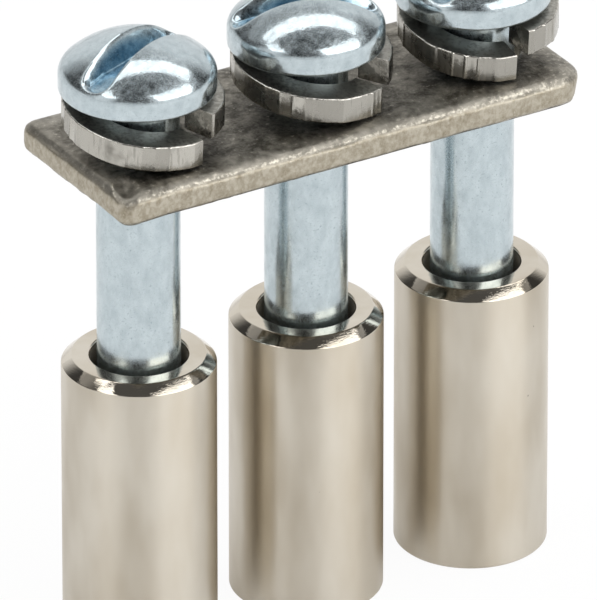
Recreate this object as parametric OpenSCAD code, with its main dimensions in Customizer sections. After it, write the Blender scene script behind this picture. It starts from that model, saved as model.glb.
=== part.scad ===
// Screw-on jumper for a row of three rail terminals.
// A flat link bar carries three slotted screws, each with a split spring washer and a spacer sleeve.
// Millimetres. The origin is on the axis of the middle screw in the plane of the sleeve feet,
// +X runs along the bar and +Z points up to the screw heads.

/* [Layout] */
// Distance between neighbouring screws, the width of one terminal
pitch = 8; // [7.2:0.1:12]

/* [Link bar] */
// Distance from an outer screw axis to the end of the bar
bar_end = 3.15; // [2.4:0.05:6]
// Width of the bar
bar_w = 8.5; // [7:0.1:12]
// Thickness of the bar
bar_t = 1.4; // [0.9:0.05:2.5]
// Corner radius in plan at the left end, where the bar is cut off its strip
bar_cut_corner_r = 0.6; // [0.5:0.1:2]
// Corner radius in plan at the right end
bar_corner_r = 1.5; // [0.8:0.1:2]
// Rounding that stamping leaves along the upper edges
bar_edge_r = 0.4; // [0.1:0.05:0.45]
// Rounding along the lower edges
bar_under_r = 0.3; // [0.05:0.05:0.35]
// How much wider a bar hole is than the screw shank
bar_hole_clearance = 0.45; // [0.2:0.05:0.8]

/* [Screw] */
// Diameter of the shank
shank_d = 3.45; // [3:0.05:3.8]
// Length from under the head to the tip
screw_len = 24.9; // [23:0.1:32]
// Diameter of the head
head_d = 6.5; // [6:0.1:7]
// Height of the head
head_h = 2.4; // [2.2:0.05:2.6]
// Height of the straight rim under the dome
head_rim_h = 1; // [0.8:0.05:1.2]
// Rounding between the rim and the dome
head_edge_r = 0.7; // [0.2:0.05:0.8]
// Rounding of the head's lower edge
head_foot_r = 0.2; // [0.05:0.05:0.3]
// Width of the driver slot
slot_w = 1.15; // [0.8:0.05:1.4]
// Depth of the driver slot below the top of the dome
slot_depth = 1.15; // [0.8:0.05:1.3]
// Chamfer at the screw tip
tip_chamfer = 0.45; // [0.2:0.05:0.8]

/* [Spring washer] */
// Outer diameter of the washer
washer_od = 6.7; // [5.8:0.05:7]
// How much wider the washer's hole is than the screw shank
washer_clearance = 0.6; // [0.5:0.05:0.9]
// Thickness of the washer's wire
washer_t = 1.1; // [0.7:0.05:1.4]
// Rise of the coil from its low end to its high end
washer_rise = 0.95; // [0.4:0.05:1.4]
// Angle of the split between the two ends
washer_split = 10; // [6:1:24]
// How far the loose washer sits off the screw's axis
washer_slip = 0.22; // [0:0.02:0.22]
// Direction of that slip, turned from +X
washer_slip_dir = -35; // [-180:5:180]
// Tilt of the loose washer, propped up on its low end
washer_tilt = 6; // [0:0.5:8]

/* [Sleeve] */
// Outer diameter of the sleeve
sleeve_od = 6.4; // [5.8:0.1:7]
// Length of the sleeve
sleeve_len = 12.9; // [8:0.1:16]
// How much wider the sleeve's bore is than the screw shank
sleeve_clearance = 0.6; // [0.3:0.05:0.9]
// Width of the chamfer round the sleeve's mouth
mouth_chamfer_w = 0.45; // [0.2:0.05:0.6]
// Height of the chamfer round the sleeve's mouth
mouth_chamfer_h = 0.38; // [0.2:0.02:0.6]
// Width and depth of the broken edge in the bore's mouth
bore_break = 0.08; // [0.04:0.02:0.3]
// Broken edge round the sleeve's foot
foot_break = 0.1; // [0.05:0.05:0.2]

/* [Assembly] */
// Height of the screw tips above the sleeve feet
tip_gap = 0.1; // [0.02:0.01:0.5]
// Play left between the loose washer and the faces above and below it
seat_gap = 0.02; // [0.01:0.01:0.1]

/* [Hidden] */
$fn = 96;

poles = 3;
slot_dirs = [22, -20, 30];
washer_dirs = [-74, -61, -93];
washer_steps = 60;
washer_id = shank_d + washer_clearance;
washer_turn = 360 - washer_split;
bar_hole_d = shank_d + bar_hole_clearance;
sleeve_bore = shank_d + sleeve_clearance;
bar_len = (poles - 1) * pitch + 2 * bar_end;

// Corners of the washer's wire section at step k: inner low, outer low, outer high, inner high
function washer_corners(k) =
    let (
        turn = washer_turn * k / washer_steps,
        off_split = turn + washer_split / 2,
        lift = washer_rise * k / washer_steps
    )
    [for (corner = [[washer_id, 0], [washer_od, 0], [washer_od, washer_t], [washer_id, washer_t]])
        let (r = corner[0] / 2)
        [
            r * cos(turn),
            -r * sin(turn),
            lift + corner[1] + tan(washer_tilt) * (washer_od / 2 - r * cos(off_split))
        ]];
washer_points = [for (k = [0 : washer_steps]) each washer_corners(k)];
washer_h = max([for (p = washer_points) p[2]]);

// Heights that follow from the stack: tip, shank, head seat, washer, bar
head_seat = tip_gap + screw_len;
bar_top = head_seat - washer_h - 2 * seat_gap;
bar_mid = bar_top - bar_t / 2;

// Radius and centre height of the dome's sphere, then the centre of the rounding between dome and rim
dome_rise = head_h - head_rim_h;
dome_r = (pow(head_d / 2, 2) + pow(dome_rise, 2)) / (2 * dome_rise);
dome_z = head_h - dome_r;
edge_x = head_d / 2 - head_edge_r;
edge_z = dome_z + sqrt(pow(dome_r - head_edge_r, 2) - pow(edge_x, 2));

function pole_x(i) = (i - (poles + 1) / 2) * pitch;

// Section of the bar from a plane inside it out to one edge, rounded more above than below
module edge_section(reach) {
    low = -bar_t / 2;
    translate([0, low])
        square([reach - bar_edge_r, bar_t]);
    translate([0, low])
        square([reach - bar_under_r, bar_t / 2]);
    translate([0, low + bar_under_r])
        square([reach, bar_t - bar_under_r - bar_edge_r]);
    translate([reach - bar_edge_r, -low - bar_edge_r])
        circle(bar_edge_r);
    translate([reach - bar_under_r, low + bar_under_r])
        circle(bar_under_r);
}

// Half of the bar, from its middle out to its right end
module bar_half(corner_r) {
    x = bar_len / 2 - corner_r;
    y = bar_w / 2 - corner_r;
    translate([0, y, 0])
        rotate([90, 0, 0])
            linear_extrude(2 * y)
                edge_section(bar_len / 2);
    for (side = [0, 1])
        mirror([0, side, 0]) {
            rotate([90, 0, 90])
                linear_extrude(x)
                    edge_section(bar_w / 2);
            translate([x, y, 0])
                rotate_extrude()
                    intersection() {
                        edge_section(corner_r);
                        translate([0, -bar_t / 2])
                            square([corner_r, bar_t]);
                    }
        }
}

module bar_blank() {
    bar_half(bar_corner_r);
    mirror([1, 0, 0])
        bar_half(bar_cut_corner_r);
}

module link_bar() {
    color("#A89F90")
        translate([0, 0, bar_mid])
            difference() {
                bar_blank();
                for (i = [1 : poles])
                    translate([pole_x(i), 0, -bar_t])
                        cylinder(d = bar_hole_d, h = 2 * bar_t);
            }
}

// Half section of the pan head: straight rim, rounded shoulder and spherical dome
module head_section() {
    reach = head_d;
    out = [edge_x, edge_z - dome_z] * reach / dome_r;
    difference() {
        intersection() {
            square([head_d / 2, head_h]);
            translate([0, dome_z])
                circle(dome_r);
        }
        difference() {
            polygon([
                [edge_x, edge_z],
                [edge_x + reach, edge_z],
                [edge_x + reach, edge_z + reach],
                [edge_x + out[0], edge_z + out[1]]
            ]);
            translate([edge_x, edge_z])
                circle(head_edge_r);
        }
        difference() {
            translate([head_d / 2 - head_foot_r, -head_foot_r])
                square(2 * head_foot_r);
            translate([head_d / 2 - head_foot_r, head_foot_r])
                circle(head_foot_r);
        }
    }
}

module screw(i) {
    color("#C9D2D6")
        translate([pole_x(i), 0, head_seat])
            difference() {
                union() {
                    rotate_extrude()
                        head_section();
                    translate([0, 0, tip_chamfer - screw_len])
                        cylinder(d = shank_d, h = screw_len - tip_chamfer + head_rim_h);
                    translate([0, 0, -screw_len])
                        cylinder(d1 = shank_d - 2 * tip_chamfer, d2 = shank_d, h = tip_chamfer);
                }
                rotate(slot_dirs[i - 1])
                    translate([-head_d, -slot_w / 2, head_h - slot_depth])
                        cube([2 * head_d, slot_w, head_h]);
            }
}

module spring_washer(i) {
    last = 4 * washer_steps;
    sides = [for (k = [0 : washer_steps - 1], c = [0 : 3])
        [4 * k + c, 4 * k + 4 + c, 4 * k + 4 + (c + 1) % 4, 4 * k + (c + 1) % 4]];
    ends = [[0, 1, 2, 3], [last + 3, last + 2, last + 1, last]];
    color("#B3AEA8")
        translate([pole_x(i), 0, bar_top + seat_gap])
            rotate(washer_slip_dir)
                translate([washer_slip, 0, 0])
                    rotate(washer_dirs[i - 1] - washer_slip_dir)
                        polyhedron(washer_points, concat(sides, ends));
}

// Half section of the sleeve wall from the bore out to the outer skin
module sleeve_section() {
    r_in = sleeve_bore / 2;
    r_out = sleeve_od / 2;
    polygon([
        [r_in, 0],
        [r_out - foot_break, 0],
        [r_out, foot_break],
        [r_out, sleeve_len - mouth_chamfer_h],
        [r_out - mouth_chamfer_w, sleeve_len],
        [r_in + bore_break, sleeve_len],
        [r_in, sleeve_len - bore_break]
    ]);
}

module sleeve(i) {
    color("#D3CABB")
        translate([pole_x(i), 0, 0])
            rotate_extrude()
                sleeve_section();
}

link_bar();
screw(1);  // screw_1
screw(2);  // screw_2
screw(3);  // screw_3
spring_washer(1);  // spring_washer_1
spring_washer(2);  // spring_washer_2
spring_washer(3);  // spring_washer_3
sleeve(1);  // sleeve_1
sleeve(2);  // sleeve_2
sleeve(3);  // sleeve_3
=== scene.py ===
"""Looks of the three-pole terminal jumper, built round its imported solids.

A tin-plated link bar carries three slotted zinc-plated screws. Each screw holds a split spring
washer above the bar and a nickel-plated spacer sleeve below it. Settings, Geometry Nodes and the
stage are in metres. Other shapes and the patterns of the materials are worked out in millimetres.
"""
import math

import bmesh
import bpy
import numpy as np
from bpy.props import FloatProperty, FloatVectorProperty, IntProperty, PointerProperty
from mathutils import Matrix, Vector, noise


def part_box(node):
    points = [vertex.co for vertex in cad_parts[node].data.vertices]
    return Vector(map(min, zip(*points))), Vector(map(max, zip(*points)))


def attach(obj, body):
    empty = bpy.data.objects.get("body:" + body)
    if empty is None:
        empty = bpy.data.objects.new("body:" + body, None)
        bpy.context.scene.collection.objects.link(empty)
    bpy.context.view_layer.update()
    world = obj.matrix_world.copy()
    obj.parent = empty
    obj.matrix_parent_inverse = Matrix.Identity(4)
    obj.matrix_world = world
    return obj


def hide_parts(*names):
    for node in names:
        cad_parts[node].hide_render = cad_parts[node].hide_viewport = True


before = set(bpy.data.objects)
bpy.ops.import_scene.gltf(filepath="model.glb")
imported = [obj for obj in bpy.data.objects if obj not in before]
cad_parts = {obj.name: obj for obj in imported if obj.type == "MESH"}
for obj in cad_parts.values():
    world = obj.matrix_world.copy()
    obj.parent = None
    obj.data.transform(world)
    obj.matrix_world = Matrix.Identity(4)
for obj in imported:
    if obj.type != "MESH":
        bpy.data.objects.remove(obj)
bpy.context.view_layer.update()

bl_info = {
    "name": "Terminal Jumper Looks",
    "version": (1, 0, 0),
    "blender": (4, 5, 0),
    "location": "View3D > Sidebar > Jumper",
    "description": "Builds the visible pieces of a three-pole terminal jumper round its solids",
    "category": "Object",
}

MM = 0.001
POLES = (1, 2, 3)

# Direction that the photograph was taken from
VIEW_AZIMUTH = math.radians(-31.2)
VIEW_ELEVATION = math.radians(27.6)

# Place of each screw's axis along the bar
POLE_X = {pole: sum(corner.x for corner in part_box(f"sleeve_{pole}")) / 2 / MM for pole in POLES}
# Direction of each driver slot, in degrees
SLOT_TURN = {1: 22, 2: -20, 3: 30}
# Direction of each washer's low end, in degrees, and how strong its ribs are
WASHER_TURN = {1: -74, 2: -61, 3: -93}
WASHER_RIB = {1: 0.8, 2: 1.1, 3: 1.6}
# Depth of the thread, and widths of its ridge at base and crest, as shares of the pitch
THREAD_DEPTH = 0.61
THREAD_BASE = 0.9
THREAD_CREST = 0.16

# The stage in metres: distance of the soft boxes, and the half axes and height of the grey canopy
LAMP_DISTANCE = 0.4
CANOPY_SIDE = 0.85
CANOPY_FRONT = 0.46
CANOPY_HEIGHT = 0.55
WALL_FOOT = 0.05

# Sockets that share their names with others: those of a colour Mix and of a Random Value number
FACTOR, COLOUR_A, COLOUR_B = 0, 6, 7
LEAST, MOST = 2, 3


def linear(code):
    """Linear RGBA of an sRGB hex colour."""
    parts = [int(code[i:i + 2], 16) / 255 for i in (0, 2, 4)]
    return (*(c / 12.92 if c <= 0.04045 else ((c + 0.055) / 1.055) ** 2.4 for c in parts), 1.0)


def add(tree, kind, inputs=None, **settings):
    """Adds a node with its settings.

    An input is a value, a socket to link from, or a node that is linked from its first live output.
    """
    node = tree.nodes.new(kind)
    for key, value in settings.items():
        setattr(node, key, value)
    for key, value in (inputs or {}).items():
        if isinstance(value, bpy.types.Node):
            value = next(socket for socket in value.outputs if socket.enabled)
        if isinstance(value, bpy.types.NodeSocket):
            tree.links.new(value, node.inputs[key])
        else:
            node.inputs[key].default_value = value
    return node


def size_setting(name, description, size):
    """A setting that is a length, given in millimetres."""
    return FloatProperty(
        name=name, description=description, default=size * MM, unit="LENGTH", precision=5)


def angle_setting(name, description, angle):
    """A setting that is an angle, given in degrees."""
    return FloatProperty(
        name=name, description=description, default=math.radians(angle), subtype="ANGLE")


def colour_setting(name, description, code):
    """A setting that is a colour, given as an sRGB hex code."""
    return FloatVectorProperty(
        name=name, description=description, default=linear(code), size=4, subtype="COLOR", min=0, max=1)


class JumperBarSettings(bpy.types.PropertyGroup):
    grain: size_setting("Mesh Grain", "Edge length of the bar's fine mesh", 0.1)
    cut_corner_r: size_setting("Cut Corner Radius", "Corner radius in plan at the left end", 0.6)
    corner_r: size_setting("Corner Radius", "Corner radius in plan at the right end", 1.5)
    roll_depth: size_setting("Roll Depth", "How far stamping draws the top face down at its edges", 0.14)
    roll_width: size_setting("Roll Width", "How far from the edge the top face starts to fall", 1.4)
    dent_depth: size_setting("Dent Depth", "Deepest knock along the bar's edges", 0.1)
    wave_depth: size_setting("Wave Depth", "Unevenness of the bar's flat faces", 0.02)
    strike_reach: size_setting("Strike Reach", "How far from the front left corner it is bent", 2.2)
    strike_depth: size_setting("Strike Depth", "How far the struck corner is bent down and in", 0.2)
    hollow_depth: size_setting("Hollow Depth", "Depth of the hollow beside the struck corner", 0.26)
    shear_draw: size_setting("Shear Draw", "How far the foot of the right end is drawn in", 0.3)
    tin: colour_setting("Tin", "Colour of the dull tin on the rolled faces", "B0ABA0")
    tin_dark: colour_setting("Dark Tin", "Colour of the tarnished patches", "4C483F")
    tin_side: colour_setting("Side Tin", "Colour of the tin on the sheared sides", "B8B1A2")
    tin_gold: colour_setting("Golden Tin", "Colour of streaks where brass shows on the sides", "877D69")
    # Rubbed tin on the edges, and also the painted glints and highlight
    tin_rubbed_and_glint: colour_setting("Rubbed Tin and Glints", "Colour of the plating rubbed bright on edges and of the painted glints and highlight", "C9C3B5")


class JumperScrewSettings(bpy.types.PropertyGroup):
    head_d: size_setting("Head Diameter", "Diameter of the pan head", 6.5)
    head_h: size_setting("Head Height", "Height of the pan head", 2.4)
    rim_h: size_setting("Rim Height", "Height of the rim before it is rounded", 1.0)
    edge_r: size_setting("Shoulder Radius", "Rounding between rim and dome", 0.7)
    foot_r: size_setting("Foot Radius", "Rounding of the head's lower edge", 0.2)
    neck_r: size_setting("Neck Radius", "Rounding between the head and the shank", 0.12)
    slot_w: size_setting("Slot Width", "Width of the driver slot", 1.15)
    slot_depth: size_setting("Slot Depth", "Depth of the driver slot below the dome's top", 1.15)
    slot_dip: size_setting("Slot Dip", "How far the slot's bed dips towards its ends", 0.25)
    slot_reach: size_setting("Slot Reach", "How far the slot runs from the screw's axis", 3.13)
    lip_r: size_setting("Lip Radius", "Rounding of the slot's pressed edges", 0.17)
    bed_r: size_setting("Bed Radius", "Rounding between the slot's walls and its bed", 0.24)
    shank_d: size_setting("Shank Diameter", "Diameter of the shank and of the thread's crest", 3.45)
    length: size_setting("Length", "Length from under the head to the tip", 24.9)
    thread_len: size_setting("Thread Length", "Length of the thread from the tip", 10.2)
    thread_pitch: size_setting("Thread Pitch", "Distance between the thread's turns", 0.6)
    zinc: colour_setting("Zinc", "Colour of the bright blue-passivated zinc", "C1CCD0")
    zinc_dark: colour_setting("Dark Zinc", "Colour of the specks and clouds in the zinc", "93A0A6")
    slot_blue: colour_setting("Slot Blue", "Colour of the thicker blue passivation in the slot, darkened by painted shade", "A2BDCC")
    slot_shade_blue: colour_setting("Shaded Slot Blue", "Colour of the painted shade in the slot", "4D748B")


class JumperWasherSettings(bpy.types.PropertyGroup):
    outer_d: size_setting("Outer Diameter", "Outer diameter of the split washer", 6.7)
    hole_d: size_setting("Hole Diameter", "Diameter of the washer's hole", 4.05)
    thickness: size_setting("Thickness", "Thickness of the washer's wire", 1.1)
    wire_r: size_setting("Wire Radius", "Rounding of the wire's edges", 0.07)
    rise: size_setting("Rise", "Rise of the coil from its low end to its high end", 0.95)
    split: angle_setting("Split", "Angle between the two ends", 10)
    tilt: angle_setting("Tilt", "Tilt of the loose washer on its low end", 6)
    slip: size_setting("Slip", "How far the loose washer sits off the screw's axis", 0.22)
    slip_turn: angle_setting("Slip Direction", "Direction of that slip, turned from +X", -35)
    facets: IntProperty(
        name="Facets", description="Shallow flats left by the coiling tool in one turn of the rim",
        default=21, min=8, max=60)
    rib: size_setting("Rib Height", "Height of the ribs between the flats", 0.03)
    steel: colour_setting("Steel", "Colour of the bare spring steel", "BBB8B0")
    steel_dark: colour_setting("Dark Steel", "Colour of the steel's oiled places, and of its painted shade and painted reflections", "75726B")
    steel_bright: colour_setting("Rubbed Steel and Highlight", "Colour of the steel's rubbed edges and their painted highlight", "DEDAD2")


class JumperSleeveSettings(bpy.types.PropertyGroup):
    outer_d: size_setting("Outer Diameter", "Outer diameter of the sleeve", 6.4)
    length: size_setting("Length", "Length of the sleeve", 12.9)
    bore_d: size_setting("Bore", "Diameter of the sleeve's bore", 4.05)
    chamfer_w: size_setting("Chamfer Width", "Width of the turned chamfer round the mouth", 0.45)
    chamfer_h: size_setting("Chamfer Height", "Height of the turned chamfer round the mouth", 0.38)
    bore_break: size_setting("Bore Break", "Broken edge of the bore's mouth", 0.08)
    foot_break: size_setting("Foot Break", "Broken edge round the foot", 0.1)
    nickel: colour_setting("Nickel", "Colour of the nickel plating", "D2CBBE")
    nickel_warm: colour_setting("Warm Nickel", "Colour of the warm clouds, partly brass under thin plating and partly painted reflection bands", "C3B9A8")
    pinhole: colour_setting("Pinhole", "Colour of the pinholes in the plating", "6E6254")


class JumperStageSettings(bpy.types.PropertyGroup):
    lens: FloatProperty(
        name="Lens", description="Focal length of the camera, in millimetres",
        default=1000, min=50)
    view_height: size_setting("View Height", "Height of the strip that the camera sees", 24.53)
    aim_right: size_setting("Aim Right", "Sideways shift of the aim from the bar's middle", -0.31)
    aim_up: size_setting("Aim Up", "Upward shift of the aim from the bar's middle", -7.85)
    aim_height: size_setting("Aim Height", "Height that the shifts start from and the lamps face", 22)
    softbox: FloatProperty(
        name="Softbox", description="Brightness of the soft boxes, where 1 is white",
        default=2.05, min=0)
    fill: FloatProperty(
        name="Fill", description="Brightness of the surroundings as they light matt surfaces",
        default=0.7, min=0)
    floor_white: FloatProperty(
        name="Floor White", description="Share of the floor that is white in spite of shadow",
        default=0.93, min=0, max=1, subtype="FACTOR")


def empty_tree(owner):
    """The emptied node tree of a material or a world."""
    owner.use_nodes = True
    owner.node_tree.nodes.clear()
    return owner.node_tree


def bare_metal(name):
    """A new material with its empty tree, and Object coordinates in millimetres."""
    material = bpy.data.materials.new(name)
    tree = empty_tree(material)
    place = add(tree, "ShaderNodeTexCoord").outputs["Object"]
    in_mm = add(tree, "ShaderNodeVectorMath", {0: place, "Scale": 1 / MM}, operation="SCALE")
    return material, tree, in_mm


def surface(tree, looks):
    """Gives a material its surface, which is all metal."""
    shader = add(tree, "ShaderNodeBsdfPrincipled", {"Metallic": 1.0, **looks})
    add(tree, "ShaderNodeOutputMaterial", {"Surface": shader})


def zinc_plating(name, settings, roughness, haze, stretch, peel, mottle, specks):
    """Bright zinc on cold-formed steel with a thin blue passivation.

    A bluish mirror, a little wavy like the steel under it and hazed by matt crystals, with grey
    specks where the zinc is thin. On the shank its clouds are drawn out a little along the axis.
    Deep in the driver slot the passivation is thicker and bluer, and painted shade darkens it there.
    """
    material, tree, mm = bare_metal(name)
    along = add(tree, "ShaderNodeVectorMath", {0: mm, 1: (1, 1, 1 / stretch)}, operation="MULTIPLY")
    # Clouds 0.45 mm across, specks 0.09 mm across, more of them where they are darker
    cloud = add(tree, "ShaderNodeTexNoise",
                {"Vector": along, "Scale": 1 / 0.45, "Detail": 4, "Roughness": 0.6})
    speck = add(tree, "ShaderNodeTexNoise",
                {"Vector": mm, "Scale": 1 / 0.09, "Detail": 2, "Roughness": 0.55})
    dull = add(tree, "ShaderNodeMapRange",
               {"Value": cloud, "From Min": 0.38, "From Max": 0.72, "To Max": mottle})
    thin = 0.67 - 0.1 * specks
    spot = add(tree, "ShaderNodeMapRange",
               {"Value": speck, "From Min": thin, "From Max": thin + 0.11, "To Max": specks})
    both = add(tree, "ShaderNodeMath", {0: dull, 1: spot}, operation="MAXIMUM")
    bright = add(tree, "ShaderNodeMix", {
        FACTOR: both, COLOUR_A: settings.zinc, COLOUR_B: settings.zinc_dark}, data_type="RGBA")
    # In the slot: bluer, thicker passivation, darkened by painted shade that grows with the slot's depth
    # and in clouds
    passivation_and_shade = add(tree, "ShaderNodeMapRange", {"Value": cloud, "From Min": 0.3, "From Max": 0.72})
    blue = add(tree, "ShaderNodeMix", {
        FACTOR: passivation_and_shade, COLOUR_A: settings.slot_blue, COLOUR_B: settings.slot_shade_blue}, data_type="RGBA")
    deep = add(tree, "ShaderNodeAttribute", attribute_name="slot_depth").outputs["Fac"]
    colour = add(tree, "ShaderNodeMix", {
        FACTOR: deep, COLOUR_A: bright, COLOUR_B: blue}, data_type="RGBA")
    rough = add(tree, "ShaderNodeMapRange",
                {"Value": cloud, "From Min": 0.3, "From Max": 0.75,
                 "To Min": roughness, "To Max": roughness * 1.8})
    # Crystals 0.015 mm across, about one in three of them matt, in patches like orange peel
    fine = add(tree, "ShaderNodeTexNoise", {"Vector": along, "Scale": 1 / 0.3, "Detail": 3})
    crystal = add(tree, "ShaderNodeTexNoise", {"Vector": mm, "Scale": 1 / 0.015, "Detail": 0})
    spread = add(tree, "ShaderNodeMath", {0: fine, 1: 0.5, 2: crystal}, operation="MULTIPLY_ADD")
    matt = add(tree, "ShaderNodeMapRange",
               {"Value": spread, "From Min": 0.77, "From Max": 0.87, "To Max": haze})
    hazy = add(tree, "ShaderNodeMath", {0: rough, 1: matt}, operation="ADD")
    # Orange peel 0.3 mm across over waves 1.1 mm across, then clusters of crystals 0.07 mm across
    wave = add(tree, "ShaderNodeTexNoise", {"Vector": along, "Scale": 1 / 1.1, "Detail": 1})
    low = add(tree, "ShaderNodeBump", {"Height": wave, "Distance": 0.014 * peel * MM})
    high = add(tree, "ShaderNodeBump", {"Height": fine, "Distance": 0.004 * peel * MM, "Normal": low})
    cluster = add(tree, "ShaderNodeTexNoise", {"Vector": mm, "Scale": 1 / 0.07, "Detail": 1})
    grainy = add(tree, "ShaderNodeBump", {"Height": cluster, "Distance": 0.0018 * MM, "Normal": high})
    surface(tree, {"Base Color": colour, "Roughness": hazy, "Normal": grainy})
    return material


def nickel_plating(name, settings, roughness, drawn, rings, feed_step):
    """Nickel plating on turned brass.

    A warm satin metal with soft warm clouds drawn out along the axis, partly where the brass shines
    through and partly painted reflection bands, faint rings from the lathe and a few pinholes. The
    finest rings draw its highlights out along the sleeve's axis.
    """
    material, tree, mm = bare_metal(name)
    tall = add(tree, "ShaderNodeVectorMath", {0: mm, 1: (1, 1, 0.35)}, operation="MULTIPLY")
    # Warm clouds 2.6 mm across and nearly three times as tall, partly brass under thin plating and partly
    # painted reflection bands, and now and then a pinhole about 0.07 mm across
    cloud = add(tree, "ShaderNodeTexNoise", {"Vector": tall, "Scale": 1 / 2.6, "Detail": 3})
    pin = add(tree, "ShaderNodeTexVoronoi", {"Vector": mm, "Scale": 1 / 1.7}, feature="F1")
    hole = add(tree, "ShaderNodeMapRange",
               {"Value": pin, "From Min": 0.015, "From Max": 0.032, "To Min": 0.6, "To Max": 0.0})
    # Warm tone: partly the brass under the thin plating, partly painted reflection bands
    warm = add(tree, "ShaderNodeMapRange", {"Value": cloud, "From Min": 0.35, "From Max": 0.68})
    tone = add(tree, "ShaderNodeMix", {
        FACTOR: warm, COLOUR_A: settings.nickel, COLOUR_B: settings.nickel_warm}, data_type="RGBA")
    colour = add(tree, "ShaderNodeMix", {
        FACTOR: hole, COLOUR_A: tone, COLOUR_B: settings.pinhole}, data_type="RGBA")
    rough = add(tree, "ShaderNodeMapRange",
                {"Value": cloud, "From Min": 0.3, "From Max": 0.7,
                 "To Min": roughness, "To Max": roughness * 1.35})
    # Rings that change quickly along the tool's path and slowly round the sleeve
    flat = add(tree, "ShaderNodeVectorMath", {0: mm, 1: (0.2, 0.2, 0)}, operation="MULTIPLY")
    feed = add(tree, "ShaderNodeAttribute", attribute_name="tool_feed").outputs["Fac"]
    risen = add(tree, "ShaderNodeCombineXYZ", {"Z": feed})
    path = add(tree, "ShaderNodeVectorMath", {0: flat, 1: risen}, operation="ADD")
    ring = add(tree, "ShaderNodeTexNoise", {"Vector": path, "Scale": 1 / feed_step, "Detail": 1})
    bump = add(tree, "ShaderNodeBump", {"Height": ring, "Distance": rings * MM})
    axis = add(tree, "ShaderNodeCombineXYZ", {"Z": 1.0})
    surface(tree, {
        "Base Color": colour, "Roughness": rough, "Normal": bump,
        "Anisotropic": drawn, "Tangent": axis})
    return material


def spring_steel(name, settings):
    """Bare, oiled spring steel, coiled and cut.

    A satin grey with a warm tinge, upright tool marks on the rim and dark clouds of oil, and each
    flat of the rim a little darker or lighter at random as painted reflection. The wire's flat faces
    get speckled painted shade and are duller, and the edges are rubbed bright with a painted highlight.
    """
    material, tree, mm = bare_metal(name)
    tall = add(tree, "ShaderNodeVectorMath", {0: mm, 1: (1, 1, 0.12)}, operation="MULTIPLY")
    # Tool marks 0.14 mm apart, oily clouds 0.8 mm across, grain 0.16 mm across
    tooled = add(tree, "ShaderNodeTexNoise",
                 {"Vector": tall, "Scale": 1 / 0.14, "Detail": 3, "Roughness": 0.6})
    cloud = add(tree, "ShaderNodeTexNoise", {"Vector": mm, "Scale": 1 / 0.8, "Detail": 4})
    grain = add(tree, "ShaderNodeTexNoise", {"Vector": mm, "Scale": 1 / 0.16, "Detail": 3})
    dark = add(tree, "ShaderNodeMapRange",
               {"Value": cloud, "From Min": 0.48, "From Max": 0.75, "To Max": 0.8})
    line = add(tree, "ShaderNodeMapRange",
               {"Value": tooled, "From Min": 0.5, "From Max": 0.68, "To Max": 0.6})
    # Painted reflection: each flat of the rim a little darker at random
    flat = add(tree, "ShaderNodeAttribute", attribute_name="flat_tone").outputs["Fac"]
    tone = add(tree, "ShaderNodeMath", {0: flat, 1: 0.55}, operation="MULTIPLY")
    marked = add(tree, "ShaderNodeMath", {0: dark, 1: line}, operation="MAXIMUM")
    rim = add(tree, "ShaderNodeMath", {0: marked, 1: tone}, operation="MAXIMUM")
    # Painted shade on the wire's flat faces, under the head and against the bar, broken into pale specks
    # by the grain
    face = add(tree, "ShaderNodeAttribute", attribute_name="wire_face").outputs["Fac"]
    skin = add(tree, "ShaderNodeMapRange",
               {"Value": grain, "From Min": 0.38, "From Max": 0.62, "To Min": 0.75, "To Max": 0.1})
    scaled = add(tree, "ShaderNodeMath", {0: face, 1: skin}, operation="MULTIPLY")
    both = add(tree, "ShaderNodeMath", {0: rim, 1: scaled}, operation="MAXIMUM")
    # Edges rubbed bright in spots, with a painted highlight
    edge = add(tree, "ShaderNodeAttribute", attribute_name="worn_edge").outputs["Fac"]
    worn = add(tree, "ShaderNodeMath", {0: edge, 1: grain}, operation="MULTIPLY")
    rub_and_highlight = add(tree, "ShaderNodeMapRange", {"Value": worn, "From Min": 0.3, "From Max": 0.5})
    steel = add(tree, "ShaderNodeMix", {
        FACTOR: both, COLOUR_A: settings.steel, COLOUR_B: settings.steel_dark}, data_type="RGBA")
    colour = add(tree, "ShaderNodeMix", {
        FACTOR: rub_and_highlight, COLOUR_A: steel, COLOUR_B: settings.steel_bright}, data_type="RGBA")
    rough = add(tree, "ShaderNodeMapRange",
                {"Value": cloud, "From Min": 0.3, "From Max": 0.7, "To Min": 0.18, "To Max": 0.36})
    duller = add(tree, "ShaderNodeMath", {0: face, 1: 0.14, 2: rough}, operation="MULTIPLY_ADD")
    drawn = add(tree, "ShaderNodeBump", {"Height": tooled, "Distance": 0.009 * MM})
    bump = add(tree, "ShaderNodeBump", {"Height": grain, "Distance": 0.008 * MM, "Normal": drawn})
    surface(tree, {"Base Color": colour, "Roughness": duller, "Normal": bump})
    return material


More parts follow.
